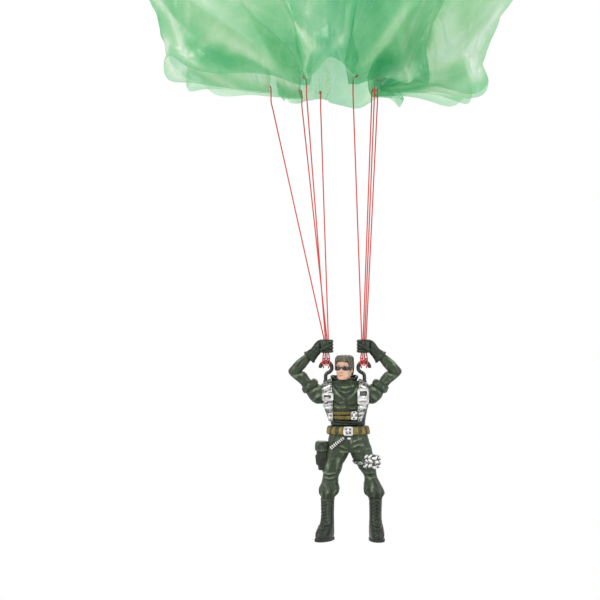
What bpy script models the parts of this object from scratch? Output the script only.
"""A toy parachute: a film canopy, four cords, and a moulded figure that hangs from two hooks.

Metres, +Z up. The origin is the crown of the canopy. The figure faces -Y, so its left hand is at +X.
The figure is drawn from its soles up, then hung below the crown.
Run it with: blender --background --python part.py
"""

import math

import bmesh
import bpy
import numpy as np
from mathutils import Matrix, Vector

MM = 0.001

# The whole toy.
part_name = "toy_parachute"
line_height = 246.0 * MM
canopy_height = 155.0 * MM
figure_offset = 10.0 * MM
piece_gap = 0.3 * MM
cut_overrun = 3.0 * MM
RIGHT = -1
LEFT = 1

# The canopy. The holes stand round the crown's axis, and the shares are of hem_ring_radius.
film_thickness = 0.4 * MM
hem_ring_radius = 32.0 * MM
lobe_radius = 115.0 * MM
valley_radius = 96.0 * MM
equator_height = 72.0 * MM
hem_droop = 11.0 * MM
hem_tab = 4.0 * MM
hem_tab_width = 4.4 * MM
hole_diameter = 1.3 * MM
crown_pad_radius = 6.0 * MM
film_columns_a_lobe = 8
lobe_bluntness = 0.62
early_draw_in = 1.12
# The film's rows: how far down from the crown to its widest ring, and from there to the hem.
film_row_shares = (
    (0.00, 0.00),
    (0.34, 0.00),
    (0.67, 0.00),
    (1.00, 0.00),
    (1.00, 0.36),
    (1.00, 0.70),
    (1.00, 0.90),
    (1.00, 1.00),
)
hole_place_shares = (
    (0.92, 0.12),
    (0.83, 0.69),
    (-0.09, 1.06),
    (-0.44, 0.81),
    (-0.99, 0.09),
    (-0.36, -0.88),
    (0.44, -1.00),
    (0.83, -0.56),
)
# For the lobe that follows each hole: how far its hem reaches and how high it stands, as shares of
# lobe_radius and of equator_height.
lobe_hem_shares = (
    (0.84, 0.02),
    (0.86, 0.10),
    (0.80, 0.16),
    (0.88, 0.24),
    (0.93, 0.26),
    (0.84, 0.17),
    (0.72, 0.05),
    (0.82, -0.02),
)

# The cords.
cord_diameter = 0.7 * MM
cord_sides_setting = 2
knot_diameter = 1.9 * MM
winding_gap = 0.4 * MM

# The hooks, each one a bent wire in the plane that faces the viewer.
hook_spacing = 20.4 * MM
hook_wire = 2.0 * MM
hook_arc_radius = 3.1 * MM
hook_arc_height = 93.1 * MM
hook_tip_angle = math.radians(186)
hook_neck_angle = math.radians(-26)
hook_arc_steps = 12
hook_stem_end = 83.0 * MM
# From the end of the arc to the stem: out from the arc's centre and down, as shares of the arc radius.
hook_neck_shares = ((0.56, -0.76), (0.20, -0.97), (-0.03, -1.25), (-0.09, -1.62))

# The figure's stack, from the soles up.
boot_height = 23.3 * MM
leg_height = 23.7 * MM
hips_height = 14.3 * MM
torso_height = 23.8 * MM
leg_foot = boot_height + piece_gap
hips_foot = leg_foot + leg_height + piece_gap
torso_foot = hips_foot + hips_height + piece_gap
torso_top = torso_foot + torso_height

# Bodies and limbs are drawn as stacks of rounded sections.
body_sides = 20
limb_sides = 14
body_squareness = 2.4
limb_squareness = 2.1
section_steps = 2

# Torso and hips: height, offset, width, depth and set-back, as shares of the three sizes of each.
torso_width = 27.2 * MM
torso_depth = 16.0 * MM
torso_shares = (
    (0.00, 0.059, 0.684, 0.73, 0.012),
    (0.10, 0.055, 0.698, 0.76, 0.000),
    (0.33, 0.037, 0.809, 0.88, -0.012),
    (0.54, 0.018, 0.941, 0.98, -0.025),
    (0.71, 0.007, 1.000, 1.00, -0.018),
    (0.83, 0.000, 0.965, 0.92, 0.000),
    (0.92, -0.004, 0.838, 0.80, 0.018),
    (0.97, -0.011, 0.662, 0.68, 0.030),
    (1.00, -0.015, 0.515, 0.57, 0.030),
)
hips_width = 25.5 * MM
hips_depth = 14.0 * MM
hips_shares = (
    (0.00, 0.084, 1.000, 0.89, 0.000),
    (0.17, 0.078, 0.965, 0.97, 0.000),
    (0.38, 0.075, 0.886, 1.00, 0.000),
    (0.62, 0.071, 0.823, 0.94, 0.007),
    (0.87, 0.067, 0.776, 0.88, 0.014),
    (1.00, 0.067, 0.765, 0.85, 0.014),
)

# Legs: height, offset, width, depth and set-back, as shares of leg_height and thigh_width.
thigh_width = 12.8 * MM
right_leg_shares = (
    (1.00, -0.328, 1.000, 0.97, 0.00),
    (0.86, -0.406, 0.922, 0.94, 0.00),
    (0.73, -0.492, 0.813, 0.88, -0.01),
    (0.59, -0.539, 0.766, 0.78, -0.03),
    (0.46, -0.602, 0.672, 0.67, -0.01),
    (0.31, -0.633, 0.734, 0.72, 0.02),
    (0.18, -0.668, 0.875, 0.83, 0.02),
    (0.07, -0.695, 0.781, 0.77, 0.02),
    (0.015, -0.711, 0.609, 0.61, 0.02),
    (0.00, -0.711, 0.530, 0.53, 0.02),
)
left_leg_shares = (
    (1.00, 0.691, 0.945, 0.97, 0.00),
    (0.86, 0.773, 0.906, 0.94, 0.00),
    (0.73, 0.875, 0.781, 0.85, -0.01),
    (0.60, 0.977, 0.672, 0.75, -0.03),
    (0.46, 1.078, 0.547, 0.66, -0.01),
    (0.31, 1.141, 0.688, 0.72, 0.02),
    (0.18, 1.195, 0.828, 0.81, 0.02),
    (0.07, 1.242, 0.828, 0.78, 0.02),
    (0.015, 1.273, 0.656, 0.66, 0.02),
    (0.00, 1.281, 0.560, 0.56, 0.02),
)

# Boots: height, width, length and set-back, as shares of boot_height, boot_width and foot_length.
boot_width = 8.2 * MM
foot_length = 15.6 * MM
boot_shares = (
    (0.00, 0.98, 0.99, -0.20),
    (0.075, 0.98, 0.99, -0.20),
    (0.085, 0.90, 0.94, -0.195),
    (0.19, 0.94, 0.91, -0.175),
    (0.28, 0.93, 0.78, -0.12),
    (0.37, 0.88, 0.61, -0.045),
    (0.47, 0.82, 0.51, 0.00),
    (0.64, 0.80, 0.47, 0.015),
    (0.86, 0.84, 0.48, 0.015),
    (0.96, 0.82, 0.46, 0.015),
    (1.00, 0.76, 0.42, 0.015),
)
arch_cut_length = 3.0 * MM
arch_cut_height = 0.9 * MM
arch_set_back = 0.6 * MM
right_boot_offset = -9.5 * MM
left_boot_offset = 16.5 * MM
right_boot_turn = math.radians(-30)
left_boot_turn = math.radians(9)

# Arms: each leaves a flat joint beside the torso. Out, up, thickness and depth are shares of
# arm_span, arm_rise and arm_thickness, from the shoulder's axis. The angles say which way the arm
# points there, from straight out.
shoulder_rise = 16.8 * MM
shoulder_height = torso_foot + shoulder_rise
shoulder_out = 13.4 * MM
shoulder_clearance = 0.5 * MM
arm_span = 13.6 * MM
arm_rise = 11.8 * MM
arm_thickness = 6.1 * MM
arm_shares = (
    (0.00, -0.02, 1.70, 1.62),
    (0.13, 0.00, 1.86, 1.68),
    (0.27, 0.08, 1.50, 1.50),
    (0.40, 0.26, 1.10, 1.20),
    (0.515, 0.44, 0.98, 1.08),
    (0.68, 0.69, 1.02, 1.10),
    (0.85, 0.86, 1.12, 1.10),
    (1.00, 1.01, 1.28, 1.12),
    (0.907, 1.17, 1.04, 1.04),
    (0.72, 1.40, 0.94, 0.96),
    (0.565, 1.575, 0.80, 0.84),
    (0.485, 1.68, 0.72, 0.76),
)
arm_angles = (0, 6, 22, 38, 43, 44, 60, 90, 115, 134, 137, 137)
shoulder_peg_diameter = 4.0 * MM
shoulder_peg_length = 3.6 * MM
sleeve_roll_place_shares = (0.415, 0.36)
sleeve_roll_slope = math.radians(128)
sleeve_roll_length = 3.7 * MM
sleeve_roll_thickness = 9.3 * MM
sleeve_roll_depth = 9.4 * MM
sleeve_clearance = 0.42 * MM

# Gloves, from the flared cuff to the fist, which is centred on the hook below it.
fist_height = 7.2 * MM
fist_width = 8.2 * MM
fist_depth = 7.4 * MM
fist_centre_height = 104.7 * MM
glove_shares = (
    (1.10, -0.835, 0.98, 0.92),
    (0.90, -0.62, 0.86, 0.84),
    (0.66, -0.36, 0.74, 0.74),
    (0.50, -0.16, 0.82, 0.84),
    (0.30, -0.02, 0.96, 0.98),
    (0.00, 0.00, 1.00, 1.00),
    (-0.14, 0.00, 0.94, 0.92),
)
glove_angles = (137, 137, 142, 154, 172, 180, 180)
glove_squareness = 2.6
finger_count = 4
finger_diameter = 2.1 * MM
finger_reach_share = 0.42
bore_width = 4.8 * MM
bore_depth = 3.0 * MM

# The head turns on a peg in the neck socket. Height, width, depth and set-back are shares of
# head_height, head_width and head_depth, from the chin up.
neck_offset = -0.3 * MM
neck_set_back = 0.6 * MM
neck_peg_diameter = 4.4 * MM
neck_peg_length = 4.2 * MM
neck_diameter = 7.0 * MM
chin_rise = 0.6 * MM
head_height = 12.2 * MM
head_width = 8.2 * MM
head_depth = 10.8 * MM
head_turn_at_rest = math.radians(-18)
head_squareness = 2.3
head_shares = (
    (0.000, 0.56, 0.80, -0.14),
    (0.070, 0.72, 0.92, -0.11),
    (0.180, 0.88, 0.98, -0.07),
    (0.370, 0.98, 0.99, -0.03),
    (0.530, 1.00, 1.00, 0.00),
    (0.700, 0.98, 1.00, 0.01),
    (0.850, 0.92, 0.96, 0.02),
    (0.950, 0.78, 0.80, 0.02),
    (1.000, 0.52, 0.56, 0.02),
)
nose_height = 2.6 * MM
nose_width = 1.8 * MM
nose_reach = 1.1 * MM
nose_rise = 2.9 * MM
ear_height = 2.6 * MM
ear_length = 1.7 * MM
ear_reach = 0.5 * MM
ear_rise = 4.6 * MM
hair_thickness = 0.8 * MM
flat_top_swell = 0.5 * MM
hair_nape_rise = 2.4 * MM
hairline_rise = 9.5 * MM
hairline_depth = 1.4 * MM
sideburn_rise = 5.2 * MM
flat_top_rise = 1.3 * MM
glasses_rise = 5.7 * MM
glasses_height = 2.1 * MM
glasses_thickness = 0.6 * MM
glasses_wrap = 4.2 * MM
glasses_bridge_width = 1.3 * MM
glasses_bridge_height = 0.8 * MM

# The collar stands round the neck and is open in front.
collar_radius = 5.7 * MM
collar_thickness = 0.8 * MM
collar_height = 2.5 * MM
collar_lean = 0.5 * MM
collar_opening = math.radians(56)
collar_steps = 20

# The gear is seated on the body, with a gap behind it.
strap_thickness = 1.0 * MM
harness_strap_width = 5.6 * MM
harness_strap_offset = 10.5 * MM
harness_strap_end = 64.6 * MM
harness_strap_slant = math.radians(4.5)
harness_buckle_thickness = 1.0 * MM
harness_buckle_offset = 9.6 * MM
harness_buckle_frame = 1.3 * MM
left_buckle_height = 9.0 * MM
left_buckle_width = 7.0 * MM
left_buckle_foot = 73.5 * MM
right_buckle_height = 4.6 * MM
right_buckle_width = 6.6 * MM
right_buckle_foot = 75.5 * MM
chest_strap_height = 4.2 * MM
chest_strap_foot = 65.6 * MM
chest_strap_width = 10.8 * MM
chest_buckle_width = 3.4 * MM
chest_buckle_height = 4.8 * MM
chest_buckle_offset = 4.6 * MM
belt_height = 4.4 * MM
belt_drop = 0.2 * MM
belt_thickness = 1.0 * MM
belt_corner = 0.25 * MM
belt_buckle_width = 5.2 * MM
belt_buckle_height = 5.0 * MM
belt_buckle_thickness = 1.0 * MM
belt_buckle_offset = 1.5 * MM
dagger_diameter = 1.9 * MM
dagger_waist_diameter = 1.4 * MM
dagger_length = 9.6 * MM
dagger_bars = 8
dagger_offset = -4.3 * MM
dagger_height = 53.1 * MM
dagger_slope = math.radians(39)
dagger_lean = math.radians(-15)
dagger_stand = 0.5 * MM
holster_height = 15.4 * MM
holster_width = 6.4 * MM
holster_length = 8.4 * MM
holster_corner = 1.2 * MM
holster_foot = 37.9 * MM
holster_offset = -12.4 * MM
holster_flap_height = 5.0 * MM
holster_flap_thickness = 0.8 * MM
thigh_pouch_height = 7.4 * MM
thigh_pouch_width = 9.6 * MM
thigh_pouch_depth = 5.6 * MM
thigh_pouch_corner = 0.9 * MM
thigh_pouch_foot = 39.2 * MM
thigh_pouch_offset = 14.4 * MM
thigh_pouch_set_back = -4.4 * MM
thigh_strap_height = 1.8 * MM
thigh_strap_foot = 41.2 * MM
thigh_strap_thickness = 0.7 * MM

# Colours, roughness and metal, from the photograph.
finishes = {
    "film": ((0.30, 0.72, 0.45, 1.0), 0.25, 0.0),
    "red_cord": ((0.66, 0.04, 0.03, 1.0), 0.60, 0.0),
    "green_plastic": ((0.045, 0.085, 0.045, 1.0), 0.50, 0.0),
    "dark_plastic": ((0.025, 0.050, 0.028, 1.0), 0.50, 0.0),
    "skin_paint": ((0.84, 0.56, 0.40, 1.0), 0.55, 0.0),
    "hair_paint": ((0.13, 0.13, 0.09, 1.0), 0.60, 0.0),
    "lens_paint": ((0.010, 0.008, 0.008, 1.0), 0.15, 0.0),
    "silver_paint": ((0.62, 0.62, 0.63, 1.0), 0.35, 0.8),
    "gold_paint": ((0.30, 0.22, 0.07, 1.0), 0.45, 0.6),
    "white_paint": ((0.75, 0.74, 0.70, 1.0), 0.50, 0.0),
}

# A cord's turns on the bar of a hook, in mm from the centre of the hook's arc. Its first half is the
# strand that comes down in front, and x is mirrored for the cord beside it.
cord_turn_route = (
    (-1.66, 0.00, 15.60),
    (-1.66, 0.00, 12.00),
    (-1.66, 0.00, 8.40),
    (-1.68, -0.75, 6.60),
    (-1.80, -1.70, 4.80),
    (-1.85, -2.00, 3.30),
    (-1.70, -1.75, 1.50),
    (-1.40, -0.95, 0.20),
    (-1.35, 0.10, -0.10),
    (-1.55, 1.20, 0.60),
    (-1.75, 1.85, 2.20),
    (-1.72, 1.55, 3.80),
    (-1.40, 0.60, 4.80),
    (-0.95, -0.55, 4.85),
    (-0.62, -1.45, 4.10),
    (-0.52, -1.72, 2.90),
    (-0.50, -1.15, 1.60),
    (-0.50, 0.00, 1.22),
    (-0.50, 1.20, 1.75),
    (-0.50, 1.85, 3.20),
    (-0.50, 1.85, 5.00),
    (-0.50, 0.90, 7.00),
    (-0.50, 0.00, 8.60),
    (-0.50, 0.00, 12.00),
    (-0.50, 0.00, 15.60),
)
# The top of a line, in mm from its hole: under the film, then out through the hole to its knot. The
# first number points out from the crown's axis and the second is height.
line_top_route = ((-1.75, -9.0), (-1.70, -3.2), (-1.45, -1.1), (-0.75, -0.15), (0.10, 0.0), (0.75, 0.0))
knot_route = ((1.05, 0.0), (1.35, 0.0), (1.75, 0.0), (2.25, 0.0), (2.60, 0.0))
knot_swell_shares = (0.55, 0.92, 1.00, 0.92, 0.50)
# Points on the taut stretch of a line, as shares of the way from its top to the fist.
taut_line_shares = (0.03, 0.50, 0.97)
# For each cord: its side, the mirror of its turns, and the holes of its front and its back line.
cord_hole_numbers = {
    "right_cord_outer": (RIGHT, 1, 4, 5),
    "right_cord_inner": (RIGHT, -1, 2, 3),
    "left_cord_outer": (LEFT, -1, 0, 7),
    "left_cord_inner": (LEFT, 1, 6, 1),
}


def clear_scene():
    """Removes what the scene holds, so that a second run starts clean."""
    for old in list(bpy.data.objects):
        bpy.data.objects.remove(old, do_unlink=True)


def new_collection(name):
    made = bpy.data.collections.new(name)
    bpy.context.scene.collection.children.link(made)
    return made


def finish(name):
    """The Principled material of one finish, made once."""
    made = bpy.data.materials.get(name)
    if made is None:
        colour, roughness, metallic = finishes[name]
        made = bpy.data.materials.new(name)
        made.use_nodes = True
        made.diffuse_color = colour
        shader = made.node_tree.nodes["Principled BSDF"]
        shader.inputs["Base Color"].default_value = colour
        shader.inputs["Roughness"].default_value = roughness
        shader.inputs["Metallic"].default_value = metallic
    return made


def link(obj, look):
    """Puts a piece in the toy's collection with its finish, or, with no finish, among the cutters."""
    for holder in list(obj.users_collection):
        holder.objects.unlink(obj)
    if look is None:
        cutters.objects.link(obj)
        obj.hide_render = True
        obj.display_type = "WIRE"
    else:
        pieces.objects.link(obj)
        obj.data.materials.clear()
        obj.data.materials.append(finish(look))
    return obj


def mesh_object(name, points, faces, look, smooth=True):
    """An object from points and faces, with its faces turned outwards."""
    mesh = bpy.data.meshes.new(name)
    mesh.from_pydata([tuple(point) for point in points], [], [tuple(face) for face in faces])
    shape = bmesh.new()
    shape.from_mesh(mesh)
    bmesh.ops.recalc_face_normals(shape, faces=shape.faces)
    shape.to_mesh(mesh)
    shape.free()
    if smooth:
        mesh.shade_smooth()
        mesh.set_sharp_from_angle(angle=math.radians(50))
    return link(bpy.data.objects.new(name, mesh), look)


def smooth_rows(rows, steps):
    """Rows of a table with more rows between them, read from a smooth curve through the table."""
    table = np.array(rows, float)
    padded = np.vstack([2 * table[0] - table[1], table, 2 * table[-1] - table[-2]])
    made = []
    for index in range(1, len(padded) - 2):
        before, start, end, after = padded[index - 1 : index + 3]
        for step in range(steps):
            t = step / steps
            made.append(
                start
                + 0.5 * t * (end - before)
                + 0.5 * t * t * (2 * before - 5 * start + 4 * end - after)
                + 0.5 * t**3 * (3 * start - before - 3 * end + after)
            )
    made.append(table[-1])
    return np.array(made)


def rounded_section(sides, squareness):
    """Points of a rounded section of half size 1: a circle at squareness 2, and squarer above it."""
    turn = np.linspace(0, 2 * math.pi, sides, endpoint=False)
    cos, sin = np.cos(turn), np.sin(turn)
    power = 2 / squareness
    return np.sign(cos) * np.abs(cos) ** power, np.sign(sin) * np.abs(sin) ** power


def stack_faces(rings, sides):
    """Faces between the rings of a stack, and one over each end."""
    faces = []
    for ring in range(rings - 1):
        for side in range(sides):
            following = (side + 1) % sides
            low, high = ring * sides, (ring + 1) * sides
            faces.append((low + side, low + following, high + following, high + side))
    faces.append(tuple(range(sides)))
    faces.append(tuple((rings - 1) * sides + side for side in range(sides)))
    return faces


def body_table(shares, foot, height, width, depth):
    """A body's sections in real sizes: level, offset, half width, half depth and set-back."""
    scale = np.array([height, width, width / 2, depth / 2, depth])
    table = smooth_rows(shares, section_steps) * scale
    table[:, 0] += foot
    return table[np.argsort(table[:, 0])]


def stacked_body(name, table, look, sides=body_sides, squareness=body_squareness, grow=0.0, turn=0.0):
    """A body from its sections. A grown one is the cutter that leaves a gap round the body: each of
    its sections is moved square to the body's slope, and the two ends are moved out and up or down."""
    across, along = rounded_section(sides, squareness)
    points = []
    rise, swell = np.gradient(table[:, 0]), np.gradient(table[:, 2:4].mean(axis=1))
    slope = np.hypot(rise, swell)
    outs, lifts = grow * rise / slope, -grow * swell / slope
    outs[[0, -1]] = grow
    lifts[[0, -1]] = -grow, grow
    for (level, offset, half_width, half_depth, set_back), out, lift in zip(table, outs, lifts):
        x = across * (half_width + out)
        y = along * (half_depth + out) + set_back
        for one, two in zip(x, y):
            turned_x = one * math.cos(turn) - two * math.sin(turn)
            turned_y = one * math.sin(turn) + two * math.cos(turn)
            points.append((turned_x + offset, turned_y, level + lift))
    return mesh_object(name, points, stack_faces(len(table), sides), look)


def section_at(table, level):
    """The section of a body at a level, as its faces give it."""
    return [np.interp(level, table[:, 0], table[:, column]) for column in range(1, 5)]


def band(name, table, foot, height, thickness, look):
    """A belt round a body, with a gap behind it."""
    across, along = rounded_section(body_sides, body_squareness)
    outline = (
        (0.0, 0.0),
        (0.0, height),
        (thickness - belt_corner, height),
        (thickness, height - belt_corner),
        (thickness, belt_corner),
        (thickness - belt_corner, 0.0),
    )
    points = []
    for side in range(body_sides):
        for out, up in outline:
            offset, half_width, half_depth, set_back = section_at(table, foot + up)
            grow = piece_gap + out
            x = offset + across[side] * (half_width + grow)
            y = set_back + along[side] * (half_depth + grow)
            points.append((x, y, foot + up))
    count = len(outline)
    faces = []
    for place in range(body_sides):
        following = (place + 1) % body_sides
        for corner in range(count):
            beside = (corner + 1) % count
            faces.append(
                (
                    place * count + corner,
                    following * count + corner,
                    following * count + beside,
                    place * count + beside,
                )
            )
    return mesh_object(name, points, faces, look)


def limb(name, centres, thicknesses, depths, look, directions, sides=limb_sides, squareness=limb_squareness):
    """A limb in the plane that faces the viewer: sections set square to its path."""
    across, along = rounded_section(sides, squareness)
    points = []
    for centre, thickness, depth, direction in zip(centres, thicknesses, depths, directions):
        square = np.array([direction[2], 0.0, -direction[0]])
        for one, two in zip(across, along):
            points.append(centre + square * one * thickness / 2 + np.array([0.0, two * depth / 2, 0.0]))
    return mesh_object(name, points, stack_faces(len(centres), sides), look)


def arm_directions(side, angles):
    """Directions in the plane that faces the viewer, from angles above straight out."""
    turns = np.radians(angles)
    return np.column_stack([side * np.cos(turns), np.zeros(len(turns)), np.sin(turns)])


def tube(name, points, diameter, look, swells=None, sides_setting=cord_sides_setting):
    """A wire or cord: a poly curve with a round bevel. Swells widen it, as at a knot."""
    curve = bpy.data.curves.new(name, "CURVE")
    curve.dimensions = "3D"
    curve.bevel_depth = diameter / 2
    curve.bevel_resolution = sides_setting
    curve.use_fill_caps = True
    spline = curve.splines.new("POLY")
    spline.points.add(len(points) - 1)
    for index, (point, target) in enumerate(zip(points, spline.points)):
        target.co = (*point, 1.0)
        target.radius = 1.0 if swells is None else swells[index]
    spline.use_smooth = True
    return link(bpy.data.objects.new(name, curve), look)


def as_mesh(obj):
    """The mesh of a curve, with its end caps welded on, in place of the curve."""
    name = obj.name
    look = obj.data.materials[0].name if obj.data.materials else None
    graph = bpy.context.evaluated_depsgraph_get()
    mesh = bpy.data.meshes.new_from_object(obj.evaluated_get(graph))
    shape = bmesh.new()
    shape.from_mesh(mesh)
    bmesh.ops.remove_doubles(shape, verts=shape.verts, dist=piece_gap / 100)
    bmesh.ops.recalc_face_normals(shape, faces=shape.faces)
    shape.to_mesh(mesh)
    shape.free()
    mesh.transform(obj.matrix_world)
    bpy.data.objects.remove(obj, do_unlink=True)
    made = bpy.data.objects.new(name, mesh)
    return link(made, look)


def combine(obj, tool, operation, solver="EXACT"):
    """A Boolean of two pieces that stays on the first one."""
    step = obj.modifiers.new(f"{operation.lower()}_{tool.name}", "BOOLEAN")
    step.operation = operation
    step.solver = solver
    step.object = tool
    return obj


def box(name, size, centre, look, corner=None, tilt=0.0):
    """A block with its centre at a place. Corners are rounded where a radius is given."""
    bpy.ops.mesh.primitive_cube_add(size=1.0, location=centre)
    made = bpy.context.object
    made.name = name
    made.data.name = name
    made.data.transform(Matrix.Diagonal((*size, 1.0)))
    made.data.transform(Matrix.Rotation(tilt, 4, "Y"))
    if corner is not None:
        bevel = made.modifiers.new("rounded_edges", "BEVEL")
        bevel.width = corner
        bevel.segments = 2
    return link(made, look)


def cylinder(name, diameter, length, centre, axis, look, sides=20):
    """A round pin with its middle at a place and its length along X, Y or Z."""
    bpy.ops.mesh.primitive_cylinder_add(vertices=sides, radius=diameter / 2, depth=length, location=centre)
    made = bpy.context.object
    made.name = name
    made.data.name = name
    turn = {"X": Matrix.Rotation(math.pi / 2, 4, "Y"), "Y": Matrix.Rotation(math.pi / 2, 4, "X")}
    if axis in turn:
        made.data.transform(turn[axis])
    return link(made, look)


def ball(name, size, centre, look):
    """A ball squeezed to three sizes."""
    bpy.ops.mesh.primitive_uv_sphere_add(segments=12, ring_count=8, radius=0.5, location=centre)
    made = bpy.context.object
    made.name = name
    made.data.name = name
    made.data.transform(Matrix.Diagonal((*size, 1.0)))
    return link(made, look)


def pivot(name, place, parent=None):
    """An empty on a joint's axis. Its place is given in the figure's own frame."""
    made = bpy.data.objects.new(name, None)
    made.empty_display_size = fist_height
    pieces.objects.link(made)
    made.parent = parent
    made.location = Vector(place) - (Vector(pivot_places[parent.name]) if parent else Vector((0, 0, 0)))
    pivot_places[name] = tuple(place)
    return made


def hang(objects, holder):
    """Gives pieces drawn in the figure's frame a parent, and leaves them where they are."""
    for obj in objects:
        obj.location -= Vector(pivot_places[holder.name])
        obj.parent = holder


def hole_place(index):
    """A hole in the hem: its place from the crown's axis, at the level of the hem."""
    return np.array(hole_place_shares[index % len(hole_place_shares)]) * hem_ring_radius


def film_columns(hole_turns):
    """The columns of the film's grid: each one's lobe, its place along it, how full the lobe is there,
    and its turn round the crown at the hem. The tab at a hole is as wide on every lobe."""
    columns = []
    for lobe in range(len(hole_place_shares)):
        ring = np.hypot(*hole_place(lobe))
        start, end = hole_turns[lobe], hole_turns[lobe + 1]
        tab = hem_tab_width / 2 / ring / (end - start)
        columns.append((lobe, 0.0, 0.0, start))
        for step in range(film_columns_a_lobe - 1):
            inner = step / (film_columns_a_lobe - 2)
            share = tab + (1 - 2 * tab) * inner
            columns.append((lobe, share, inner, start + share * (end - start)))
    return columns


def film_surface():
    """The film as a grid round the crown. Between the holes it billows out in lobes, and at each hole
    it is drawn in to a short tab that hangs straight down."""
    holes = len(hole_place_shares)
    hole_turns = [math.atan2(*hole_place(index)[::-1]) for index in range(holes)]
    hole_turns = np.unwrap(hole_turns + [hole_turns[0] + 2 * math.pi])
    lobe_turn = 2 * math.pi / holes
    first_turn = np.mean(hole_turns[:-1] - np.arange(holes) * lobe_turn)
    top_height = canopy_height - film_thickness / 2
    first_angle = math.asin(crown_pad_radius / lobe_radius)
    columns = film_columns(hole_turns)
    points = []
    for upper, lower in film_row_shares:
        for lobe, share, inner, hem_turn in columns:
            fullness = math.sin(math.pi * inner) ** lobe_bluntness
            ends = np.hypot(*hole_place(lobe)), np.hypot(*hole_place(lobe + 1))
            ring = (1 - share) * ends[0] + share * ends[1]
            reach_share, rise_share = lobe_hem_shares[lobe]
            droop = hem_droop * (math.sin(math.pi * inner) * math.sin(2 * math.pi * inner)) ** 2
            hem_radius = ring + fullness * (reach_share * lobe_radius - ring)
            hem_level = fullness**2 * rise_share * equator_height - droop - hem_tab * (1 - fullness)
            widest = valley_radius + fullness * (lobe_radius - valley_radius)
            angle = first_angle + (math.pi / 2 - first_angle) * upper
            radius = widest * math.sin(angle)
            level = equator_height + (top_height - equator_height) * math.cos(angle)
            draw_in = (1 - math.cos(math.pi * min(1.0, lower * early_draw_in))) / 2
            radius += (hem_radius - widest) * draw_in
            level += (hem_level - equator_height) * lower
            even_turn = first_turn + (lobe + share) * lobe_turn
            turn = even_turn + (hem_turn - even_turn) * (upper + lower) / 2
            points.append((radius * math.cos(turn), radius * math.sin(turn), level))
    count = len(columns)
    faces = [tuple(range(count))]
    for row in range(len(film_row_shares) - 1):
        for column in range(count):
            following = (column + 1) % count
            low, high = row * count, (row + 1) * count
            faces.append((low + column, low + following, high + following, high + column))
    return points, faces


def make_canopy():
    """The film: an open surface given its thickness, with a hole through each tab for a line."""
    points, faces = film_surface()
    canopy = mesh_object("canopy", points, faces, "film")
    wall = canopy.modifiers.new("film_thickness", "SOLIDIFY")
    wall.thickness = film_thickness
    wall.offset = 0.0
    for index in range(len(hole_place_shares)):
        x, y = hole_place(index)
        punch = cylinder(f"hem_hole_punch_{index}", hole_diameter, 2 * cut_overrun, (x, y, 0), "X", None, 10)
        punch.data.transform(Matrix.Rotation(math.atan2(y, x), 4, "Z"))
        punch.location.z = line_height - total_height
        combine(canopy, punch, "DIFFERENCE")
    canopy.data.transform(Matrix.Translation((0, 0, line_height - total_height)))
    return canopy


def cord_points(name):
    """The points of a cord's two lines and its turns on the hook, and how much each point swells."""
    side, mirror, front_hole, back_hole = cord_hole_numbers[name]
    turns = [
        (
            side * hook_spacing / 2 + mirror * x * MM,
            y * MM,
            hook_arc_height + z * MM,
        )
        for x, y, z in cord_turn_route
    ]
    ends = []
    for hole in (front_hole, back_hole):
        x, y = hole_place(hole)
        out = np.array([x, y]) / math.hypot(x, y)
        base = np.array([x - figure_offset, y])
        line = []
        for reach, rise in line_top_route + knot_route:
            flat = base + out * reach * MM
            line.append((flat[0], flat[1], line_height + rise * MM))
        fist = turns[0] if hole == front_hole else turns[-1]
        straight = [tuple(np.array(line[0]) * (1 - s) + np.array(fist) * s) for s in taut_line_shares]
        ends.append(straight[::-1] + line)
    route = ends[0][::-1] + turns + ends[1]
    plain = len(turns) + 2 * (len(line_top_route) + len(taut_line_shares))
    knot = [1 + (knot_diameter / cord_diameter - 1) * share for share in knot_swell_shares]
    swells = knot[::-1] + [1.0] * plain + knot
    return np.array(route), np.array(swells)


def smooth_route(route, swells):
    """A smooth curve through the route's points, with more points where the route bends."""
    padded = np.vstack([2 * route[0] - route[1], route, 2 * route[-1] - route[-2]])
    points = [route[0]]
    widths = [swells[0]]
    for index in range(1, len(padded) - 2):
        before, start, end, after = padded[index - 1 : index + 3]
        length = np.linalg.norm(end - start)
        steps = 1 if swells[index - 1] > 1 or swells[index] > 1 else 2
        if length > 6 * cord_diameter:
            steps = 1
        leave = (end - before) / np.linalg.norm(end - before) * length
        arrive = (after - start) / np.linalg.norm(after - start) * length
        for step in range(1, steps + 1):
            t = step / steps
            points.append(
                (2 * t**3 - 3 * t**2 + 1) * start
                + (t**3 - 2 * t**2 + t) * leave
                + (3 * t**2 - 2 * t**3) * end
                + (t**3 - t**2) * arrive
            )
            widths.append(swells[index - 1] + (swells[index] - swells[index - 1]) * t)
    return np.array(points), np.array(widths)


def least_gap(points, apart):
    """The least gap of a cord to itself, between stretches that lie some way apart along it."""
    dense = np.vstack(
        [
            start + (end - start) * np.linspace(0, 1, 12, endpoint=False)[:, None]
            for start, end in zip(points[:-1], points[1:])
        ]
    )
    steps = np.linalg.norm(np.diff(dense, axis=0), axis=1)
    along = np.concatenate([[0.0], np.cumsum(steps)])
    near = np.abs(along[:, None] - along[None, :]) < apart
    distance = np.linalg.norm(dense[:, None] - dense[None, :], axis=2)
    distance[near] = np.inf
    return distance.min() - cord_diameter


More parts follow.
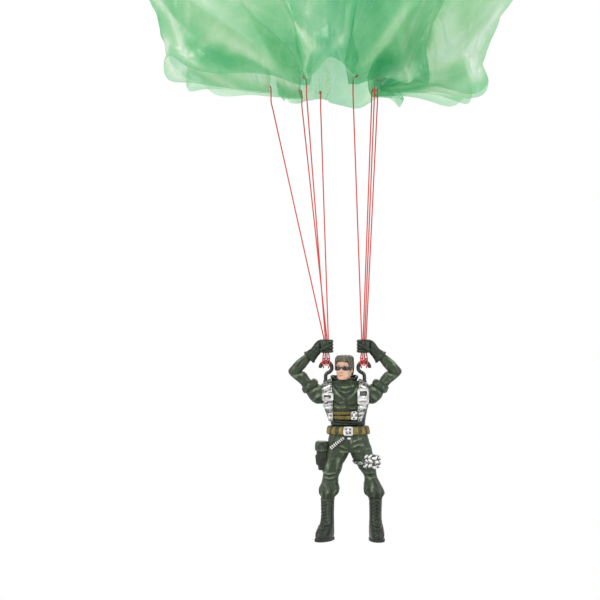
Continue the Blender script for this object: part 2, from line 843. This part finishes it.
def make_cords():
    """Four cords. Each one is a single tube from one knot, round the hook, to the other knot."""
    made = []
    for name in cord_hole_numbers:
        route, swells = cord_points(name)
        points, widths = smooth_route(route, swells)
        length = np.linalg.norm(np.diff(points, axis=0), axis=1).sum()
        # The knots' bends stay out of the measure of the winding.
        inner = points[len(knot_route) : -len(knot_route)]
        gap = least_gap(inner, 6 * cord_diameter)
        enough = "enough" if gap > winding_gap else "too little"
        print(f"{name}: length {length / MM:.1f} mm, least gap to itself {gap / MM:.2f} mm, {enough}")
        made.append(tube(name, points, cord_diameter, "red_cord", widths))
    return made


def make_hook(side):
    """A hook: from its tip over the arc, in towards the head, and back out to the stem."""
    centre = np.array([side * hook_spacing / 2, 0.0, hook_arc_height])
    points = []
    for step in range(hook_arc_steps + 1):
        angle = hook_tip_angle + (hook_neck_angle - hook_tip_angle) * step / hook_arc_steps
        points.append((math.cos(angle) * hook_arc_radius, math.sin(angle) * hook_arc_radius))
    points += [(out * hook_arc_radius, up * hook_arc_radius) for out, up in hook_neck_shares]
    points.append((points[-1][0], hook_stem_end - hook_arc_height))
    places = [centre + np.array([-side * x, 0.0, z]) for x, z in points]
    name = "left_hook" if side == LEFT else "right_hook"
    return as_mesh(tube(name, places, hook_wire, "dark_plastic"))


def make_torso(table):
    """The shirt, with sockets for the neck's peg and the arms' pegs."""
    torso = stacked_body("torso", table, "green_plastic")
    socket = cylinder(
        "neck_socket_cutter",
        neck_peg_diameter + 2 * piece_gap,
        2 * (neck_peg_length + piece_gap),
        (neck_offset, neck_set_back, torso_top),
        "Z",
        None,
    )
    combine(torso, socket, "DIFFERENCE")
    sockets = [socket]
    for side in (RIGHT, LEFT):
        cutter = cylinder(
            f"shoulder_socket_cutter_{side}",
            shoulder_peg_diameter + 2 * piece_gap,
            2 * (shoulder_peg_length + piece_gap),
            (side * shoulder_out, 0.0, shoulder_height),
            "X",
            None,
        )
        combine(torso, cutter, "DIFFERENCE")
        sockets.append(cutter)
    return torso, sockets


def make_collar(tools):
    """The shirt's collar: a low wall round the neck that leans outwards, open in front."""
    outline = (
        (0.0, piece_gap),
        (collar_lean, collar_height),
        (collar_lean + collar_thickness, collar_height - belt_corner),
        (collar_thickness + belt_corner, piece_gap),
    )
    points = []
    for step in range(collar_steps + 1):
        turn = -math.pi / 2 + collar_opening + (2 * math.pi - 2 * collar_opening) * step / collar_steps
        ends = min(step, collar_steps - step) / 3
        lift = min(1.0, 0.45 + 0.55 * ends)
        for out, up in outline:
            radius = collar_radius + out
            points.append(
                (
                    neck_offset + radius * math.cos(turn) * 0.98,
                    neck_set_back + radius * math.sin(turn) * 0.80,
                    torso_top + (up * lift if up > piece_gap else up - piece_gap * 3),
                )
            )
    count = len(outline)
    faces = []
    for step in range(collar_steps):
        for corner in range(count):
            beside = (corner + 1) % count
            low, high = step * count, (step + 1) * count
            faces.append((low + corner, high + corner, high + beside, low + beside))
    faces.append(tuple(range(count)))
    faces.append(tuple(collar_steps * count + corner for corner in range(count)))
    return combine(mesh_object("collar", points, faces, "dark_plastic"), tools["torso"], "DIFFERENCE")


def make_boot(name, offset, turn):
    """A boot from its sole up the shaft, with the arch cut away in front of the heel."""
    scale = np.array([boot_height, boot_width / 2, foot_length / 2, foot_length])
    rows = np.array(boot_shares) * scale
    table = np.column_stack([rows[:, 0], np.full(len(rows), offset), rows[:, 1], rows[:, 2], rows[:, 3]])
    boot = stacked_body(name, table, "dark_plastic", body_sides, 2.25, 0.0, turn)
    arch = box(
        f"{name}_arch_cutter",
        (2 * boot_width, arch_cut_length, 2 * arch_cut_height),
        (offset - arch_set_back * math.sin(turn), arch_set_back * math.cos(turn), 0.0),
        None,
    )
    arch.data.transform(Matrix.Rotation(turn, 4, "Z"))
    combine(boot, arch, "DIFFERENCE")
    return boot, arch


def make_arm(side, torso_table):
    """An arm: the shoulder with its peg, bent at the elbow, up to the wrist."""
    name = "left_arm" if side == LEFT else "right_arm"
    rows = smooth_rows(arm_shares, 1)
    centres = np.column_stack(
        [
            side * (shoulder_out + rows[:, 0] * arm_span),
            np.zeros(len(rows)),
            shoulder_height + rows[:, 1] * arm_rise,
        ]
    )
    directions = arm_directions(side, arm_angles)
    thicknesses, depths = rows[:, 2] * arm_thickness, rows[:, 3] * arm_thickness
    arm = limb(name, centres, thicknesses, depths, "green_plastic", directions)
    peg_centre = side * (shoulder_out - shoulder_peg_length / 2 + cut_overrun / 2)
    peg = cylinder(
        f"{name}_peg_tool",
        shoulder_peg_diameter,
        shoulder_peg_length + cut_overrun,
        (peg_centre, 0.0, shoulder_height),
        "X",
        None,
    )
    room = stacked_body(f"{name}_room_cutter", torso_table, None, grow=shoulder_clearance)
    combine(arm, room, "DIFFERENCE")
    combine(arm, peg, "UNION")
    return (arm, peg, room), centres, directions, rows


def make_sleeve_roll(side, centres, directions, rows):
    """The rolled-up sleeve: a thick ring round the upper arm, with a gap to it."""
    name = "left_sleeve_roll" if side == LEFT else "right_sleeve_roll"
    out, up = sleeve_roll_place_shares
    centre = np.array([side * (shoulder_out + out * arm_span), 0.0, shoulder_height + up * arm_rise])
    direction = np.array([-side * math.cos(sleeve_roll_slope), 0.0, math.sin(sleeve_roll_slope)])
    length_shares = (-0.5, -0.42, -0.15, 0.15, 0.42, 0.5)
    swell_shares = (0.98, 1.04, 1.03, 0.98, 0.93, 0.84)
    roll = limb(
        name,
        [centre + direction * share * sleeve_roll_length for share in length_shares],
        [share * sleeve_roll_thickness for share in swell_shares],
        [share * sleeve_roll_depth for share in swell_shares],
        "green_plastic",
        [direction] * len(length_shares),
    )
    hollow = grown_limb(f"{name}_cutter", centres, directions, rows)
    combine(roll, hollow, "DIFFERENCE")
    return roll, hollow


def grown_limb(name, centres, directions, rows):
    """The arm grown by the sleeve's clearance, as a cutter."""
    return limb(
        name,
        centres,
        rows[:, 2] * arm_thickness + 2 * sleeve_clearance,
        rows[:, 3] * arm_thickness + 2 * sleeve_clearance,
        None,
        directions,
    )


def make_glove(side, centres, directions, rows):
    """A glove: its cuff, the palm, four fingers round the lines, and the bore that the lines run in."""
    name = "left_glove" if side == LEFT else "right_glove"
    middle = np.array([side * hook_spacing / 2, 0.0, fist_centre_height])
    wrist = grown_limb(f"{name}_wrist_cutter", centres, directions, rows)
    shares = np.array(glove_shares)
    across, up = side * shares[:, 0] * fist_width, shares[:, 1] * fist_height
    palm = np.column_stack([across, np.zeros(len(shares)), up])
    glove = limb(
        name,
        middle + palm,
        shares[:, 2] * fist_height,
        shares[:, 3] * fist_depth,
        "dark_plastic",
        arm_directions(side, glove_angles),
        limb_sides,
        glove_squareness,
    )
    pitch = (fist_height - finger_diameter) / (finger_count - 1)
    tools = []
    for finger in range(finger_count):
        level = middle[2] - fist_height / 2 + finger_diameter / 2 + finger * pitch
        bend = fist_depth / 2 - finger_diameter / 2
        inner = middle[0] - side * (fist_width * finger_reach_share - finger_diameter / 2)
        knuckle = middle[0] + side * fist_width * 0.02
        near = bend * 0.62
        points = [
            (knuckle, -bend, level),
            (inner + side * finger_diameter * 0.35, -bend * 0.96, level),
            (inner - side * finger_diameter * 0.25, -near, level),
            (inner - side * finger_diameter * 0.25, near, level),
            (inner + side * finger_diameter * 0.35, bend * 0.96, level),
            (knuckle, bend, level),
        ]
        tool = as_mesh(tube(f"{name}_finger_tool_{finger}", points, finger_diameter, "dark_plastic", None, 1))
        link(tool, None)
        # Fingers of one shape side by side are more than the exact solver joins cleanly.
        combine(glove, tool, "UNION", "MANIFOLD")
        tools.append(tool)
    bore = box(f"{name}_bore_cutter", (bore_width, bore_depth, fist_height + 2 * cut_overrun), middle, None)
    combine(glove, bore, "DIFFERENCE", "MANIFOLD")
    combine(glove, wrist, "DIFFERENCE", "MANIFOLD")
    tools += [bore, wrist]
    return glove, tools


def head_table():
    """The head's sections in real sizes."""
    scale = np.array([head_height, head_width / 2, head_depth / 2, head_depth])
    rows = smooth_rows(head_shares, section_steps) * scale
    level = torso_top + chin_rise + rows[:, 0]
    offset = np.full(len(rows), neck_offset)
    return np.column_stack([level, offset, rows[:, 1], rows[:, 2], rows[:, 3] + neck_set_back])


def make_head():
    """The head, drawn facing straight ahead: skull and face, nose, ears, neck and peg."""
    table = head_table()
    head = stacked_body("head", table, "skin_paint", 18, head_squareness)
    neck_foot = torso_top + piece_gap
    chin = torso_top + chin_rise
    peg = cylinder(
        "neck_peg_tool",
        neck_peg_diameter,
        neck_peg_length + 3 * nose_height,
        (neck_offset, neck_set_back, torso_top - neck_peg_length / 2 + 1.5 * nose_height),
        "Z",
        None,
    )
    neck = cylinder(
        "neck_tool",
        neck_diameter,
        2 * nose_height,
        (neck_offset, neck_set_back, neck_foot + nose_height),
        "Z",
        None,
    )
    front = neck_set_back - head_depth / 2
    nose = ball(
        "nose_tool",
        (nose_width, 2 * nose_reach, nose_height),
        (neck_offset, front - nose_reach * 0.1, chin + nose_rise + nose_height / 2),
        None,
    )
    tools = [peg, neck, nose]
    for side in (RIGHT, LEFT):
        ear = ball(
            f"ear_tool_{side}",
            (2 * ear_reach + head_width * 0.1, ear_length, ear_height),
            (neck_offset + side * head_width * 0.47, neck_set_back + ear_length * 0.1, chin + ear_rise),
            None,
        )
        tools.append(ear)
    for tool in tools:
        combine(head, tool, "UNION")
    return head, tools


def make_hair():
    """A flat-topped cut: a cap over the skull, cut away over the face and round the ears."""
    chin = torso_top + chin_rise
    table = head_table()
    table[:, 2] += hair_thickness
    table[:, 3] += hair_thickness
    table[-1, 0] += flat_top_rise * 0.8
    table[-2, 0] += flat_top_rise * 0.9
    table[-1, 2:4] += 2 * flat_top_swell
    table[-2, 2:4] += flat_top_swell
    keep = table[:, 0] > chin + hair_nape_rise
    nape = table[keep][0].copy()
    nape[0] = chin + hair_nape_rise
    cap = np.vstack([nape, table[keep]])
    hair = stacked_body("hair", cap, "hair_paint", 18, 2.6)
    skull = stacked_body("skull_cutter", head_table(), None, 18, head_squareness, piece_gap)
    front = neck_set_back - head_depth
    face = box(
        "face_cutter",
        (2 * head_width, head_depth + 2 * hairline_depth, hairline_rise),
        (neck_offset, front + head_depth / 2 - hairline_depth / 2, chin + hairline_rise / 2),
        None,
    )
    cheek = box(
        "cheek_cutter",
        (2 * head_width, head_depth * 1.1, 2 * sideburn_rise),
        (neck_offset, neck_set_back - head_depth * 0.32, chin),
        None,
    )
    tools = [skull, face, cheek]
    for side in (RIGHT, LEFT):
        room = ball(
            f"ear_room_cutter_{side}",
            (2 * head_width * 0.3, ear_length + 2 * piece_gap, ear_height + 2 * piece_gap),
            (neck_offset + side * head_width * 0.5, neck_set_back + ear_length * 0.1, chin + ear_rise),
            None,
        )
        tools.append(room)
    for tool in tools:
        combine(hair, tool, "DIFFERENCE")
    return hair, tools


def make_sunglasses():
    """Wrap-round glasses: the part of a grown head that lies between two levels in front."""
    chin = torso_top + chin_rise
    glasses = stacked_body(
        "sunglasses", head_table(), "lens_paint", 18, head_squareness, piece_gap + glasses_thickness
    )
    inside = stacked_body("face_seat_cutter", head_table(), None, 18, head_squareness, piece_gap)
    level = chin + glasses_rise + glasses_height / 2
    keep = box(
        "glasses_keep_tool",
        (2 * head_width, head_depth, glasses_height),
        (neck_offset, neck_set_back - head_depth + glasses_wrap / 2, level),
        None,
    )
    notch = box(
        "glasses_bridge_cutter",
        (glasses_bridge_width, 2 * head_depth, 2 * glasses_bridge_height),
        (neck_offset, neck_set_back - head_depth, chin + glasses_rise),
        None,
    )
    combine(glasses, keep, "INTERSECT")
    combine(glasses, inside, "DIFFERENCE")
    combine(glasses, notch, "DIFFERENCE")
    return glasses, [inside, keep, notch]


def make_harness_strap(side, table, tools):
    """A strap over the shoulder, front and back: a slice of the grown torso, hollowed by the torso."""
    name = "left_harness_strap" if side == LEFT else "right_harness_strap"
    strap = stacked_body(
        name, table, "silver_paint", body_sides, body_squareness, piece_gap + strap_thickness
    )
    height = 2 * torso_height
    slab = box(
        f"{name}_slab_tool",
        (harness_strap_width, 2 * torso_depth, height),
        (side * harness_strap_offset, 0.0, harness_strap_end + height / 2),
        None,
        None,
        side * harness_strap_slant,
    )
    combine(strap, slab, "INTERSECT")
    combine(strap, tools["torso"], "DIFFERENCE")
    return strap, slab


def make_chest_strap(table, tools):
    """The strap across the chest, from one harness strap to the other."""
    strap = stacked_body("chest_strap", table, "gold_paint", grow=piece_gap + strap_thickness)
    slab = box(
        "chest_strap_slab_tool",
        (chest_strap_width, torso_depth, chest_strap_height),
        (0.0, -torso_depth / 2, chest_strap_foot + chest_strap_height / 2),
        None,
    )
    combine(strap, slab, "INTERSECT")
    combine(strap, tools["torso"], "DIFFERENCE")
    return strap, slab


def make_harness_buckle(side, table, tools):
    """A buckle frame that stands on the strap in front and follows the chest."""
    name = "left_harness_buckle" if side == LEFT else "right_harness_buckle"
    height = left_buckle_height if side == LEFT else right_buckle_height
    width = left_buckle_width if side == LEFT else right_buckle_width
    foot = left_buckle_foot if side == LEFT else right_buckle_foot
    place = (side * harness_buckle_offset, -torso_depth / 2, foot + height / 2)
    growth = 2 * piece_gap + strap_thickness + harness_buckle_thickness
    buckle = stacked_body(name, table, "silver_paint", grow=growth)
    block = box(f"{name}_block_tool", (width, torso_depth, height), place, None, belt_corner)
    window = box(
        f"{name}_window_cutter",
        (width - 2 * harness_buckle_frame, 2 * torso_depth, height - 2 * harness_buckle_frame),
        place,
        None,
    )
    combine(buckle, block, "INTERSECT")
    combine(buckle, tools["strap"], "DIFFERENCE")
    combine(buckle, window, "DIFFERENCE")
    return buckle, block, window


def make_dagger(tools):
    """The striped grip below the belt: a turned rod with eight bars, seated on the hips."""
    pitch = dagger_length / dagger_bars
    profile = [(0.0, 0.0)]
    for bar in range(dagger_bars):
        foot = bar * pitch
        profile.append((dagger_diameter / 2, foot + pitch * 0.12))
        profile.append((dagger_diameter / 2, foot + pitch * 0.62))
        profile.append((dagger_waist_diameter / 2, foot + pitch * 0.72))
        profile.append((dagger_waist_diameter / 2, foot + pitch))
    profile.append((0.0, dagger_length))
    mesh = bpy.data.meshes.new("dagger")
    points = [(radius, 0.0, dagger_length - level) for radius, level in profile]
    mesh.from_pydata(points, [(index, index + 1) for index in range(len(points) - 1)], [])
    dagger = link(bpy.data.objects.new("dagger", mesh), "white_paint")
    turned = dagger.modifiers.new("turned", "SCREW")
    turned.steps = 10
    turned.render_steps = 10
    turned.use_merge_vertices = True
    turned.merge_threshold = 0.00001
    weld = dagger.modifiers.new("poles", "WELD")
    weld.merge_threshold = 0.00001
    mesh.transform(Matrix.Translation((0.0, 0.0, -dagger_length / 2)))
    dagger.rotation_euler = (0.0, math.pi / 2 - dagger_slope, dagger_lean)
    seat = -hips_depth / 2 - piece_gap - dagger_stand
    dagger.location = (dagger_offset, seat, dagger_height)
    combine(dagger, tools["hips"], "DIFFERENCE")
    return dagger


def make_holster(tools):
    """The holster on the right thigh, with a flap, cut to the thigh and the hips."""
    centre = (holster_offset, 0.0, holster_foot + holster_height / 2)
    size = (holster_width, holster_length, holster_height)
    holster = box("holster", size, centre, "dark_plastic", holster_corner)
    flap = box(
        "holster_flap_tool",
        (
            holster_width + 2 * holster_flap_thickness,
            holster_length + 2 * holster_flap_thickness,
            holster_flap_height,
        ),
        (holster_offset, 0.0, holster_foot + holster_height - holster_flap_height / 2 - holster_corner),
        None,
        holster_corner / 2,
    )
    combine(holster, flap, "UNION")
    combine(holster, tools["right_leg"], "DIFFERENCE")
    combine(holster, tools["hips"], "DIFFERENCE")
    return holster, flap


def make_thigh_pouch(tools):
    """The pouch on the left thigh, seated on its strap."""
    centre = (thigh_pouch_offset, thigh_pouch_set_back, thigh_pouch_foot + thigh_pouch_height / 2)
    pouch = box(
        "thigh_pouch",
        (thigh_pouch_width, thigh_pouch_depth, thigh_pouch_height),
        centre,
        "silver_paint",
        thigh_pouch_corner,
    )
    combine(pouch, tools["left_leg_strap"], "DIFFERENCE")
    return pouch


def build():
    """Makes every piece of the toy and hangs it on its body."""
    canopy = make_canopy()
    figure_frame = pivot("figure_frame", (0.0, 0.0, 0.0))
    figure_frame.location = (figure_offset, 0.0, -total_height)
    pivot_places["figure_frame"] = (0.0, 0.0, 0.0)
    bar_height = hook_arc_height + hook_arc_radius
    figure_pivot = pivot("figure_pivot", (0.0, 0.0, bar_height), figure_frame)
    head_pivot = pivot("head_pivot", (neck_offset, neck_set_back, torso_top), figure_pivot)
    hang(make_cords(), figure_frame)

    torso_table = body_table(torso_shares, torso_foot, torso_height, torso_width, torso_depth)
    hips_table = body_table(hips_shares, hips_foot, hips_height, hips_width, hips_depth)
    right_leg_table = body_table(right_leg_shares, leg_foot, leg_height, thigh_width, thigh_width)
    left_leg_table = body_table(left_leg_shares, leg_foot, leg_height, thigh_width, thigh_width)
    strap_growth = 2 * piece_gap + strap_thickness
    thigh_growth = 2 * piece_gap + thigh_strap_thickness
    tools = {
        "torso": stacked_body("torso_cutter", torso_table, None, grow=piece_gap),
        "strap": stacked_body("strap_cutter", torso_table, None, grow=strap_growth),
        "hips": stacked_body("hips_cutter", hips_table, None, grow=piece_gap),
        "right_leg": stacked_body("right_leg_cutter", right_leg_table, None, grow=piece_gap),
        "left_leg_strap": stacked_body("left_leg_strap_cutter", left_leg_table, None, grow=thigh_growth),
    }

    torso, sockets = make_torso(torso_table)
    body = [torso, *sockets, *tools.values()]
    body.append(make_collar(tools))
    body.append(stacked_body("hips", hips_table, "green_plastic"))
    body.append(stacked_body("right_leg", right_leg_table, "green_plastic"))
    body.append(stacked_body("left_leg", left_leg_table, "green_plastic"))
    body += make_boot("right_boot", right_boot_offset, right_boot_turn)
    body += make_boot("left_boot", left_boot_offset, left_boot_turn)
    for side in (RIGHT, LEFT):
        hook = make_hook(side)
        combine(hook, tools["strap"], "DIFFERENCE")
        body.append(hook)
        body += make_harness_strap(side, torso_table, tools)
        body += make_harness_buckle(side, torso_table, tools)

    body += make_chest_strap(torso_table, tools)
    belt_foot = hips_foot + hips_height - belt_height - belt_drop
    body.append(band("belt", hips_table, belt_foot, belt_height, belt_thickness, "gold_paint"))
    buckle_growth = piece_gap + belt_thickness + piece_gap
    buckle_depth = 2 * (buckle_growth + belt_buckle_thickness)
    belt_buckle = box(
        "belt_buckle",
        (belt_buckle_width, buckle_depth, belt_buckle_height),
        (belt_buckle_offset, -hips_depth * 0.86 / 2, belt_foot + belt_height / 2),
        "silver_paint",
        belt_corner,
    )
    belt_cutter = stacked_body("belt_cutter", hips_table, None, grow=buckle_growth)
    combine(belt_buckle, belt_cutter, "DIFFERENCE")
    body += [belt_buckle, belt_cutter]
    chest_buckle = box(
        "chest_buckle",
        (chest_buckle_width, buckle_depth, chest_buckle_height),
        (chest_buckle_offset, -torso_depth * 0.85 / 2, chest_strap_foot + chest_strap_height / 2),
        "silver_paint",
        belt_corner,
    )
    combine(chest_buckle, tools["strap"], "DIFFERENCE")
    body.append(chest_buckle)
    body.append(make_dagger(tools))
    body += make_holster(tools)
    body.append(make_thigh_pouch(tools))
    body.append(
        band(
            "thigh_strap",
            left_leg_table,
            thigh_strap_foot,
            thigh_strap_height,
            thigh_strap_thickness,
            "silver_paint",
        )
    )
    hang(body, figure_pivot)

    for side, name in ((RIGHT, "right_arm_pivot"), (LEFT, "left_arm_pivot")):
        arm_pivot = pivot(name, (side * shoulder_out, 0.0, shoulder_height), figure_pivot)
        arm, *sections = make_arm(side, torso_table)
        roll = make_sleeve_roll(side, *sections)
        glove, tools_of_glove = make_glove(side, *sections)
        hang([*arm, *roll, glove, *tools_of_glove], arm_pivot)

    head, head_tools = make_head()
    hair, hair_tools = make_hair()
    glasses, glasses_tools = make_sunglasses()
    hang([head, *head_tools, hair, *hair_tools, glasses, *glasses_tools], head_pivot)
    head_pivot.rotation_euler[2] = head_turn_at_rest
    return canopy


total_height = line_height + canopy_height
pivot_places = {}
clear_scene()
pieces = new_collection(part_name)
cutters = new_collection("cutters")
build()
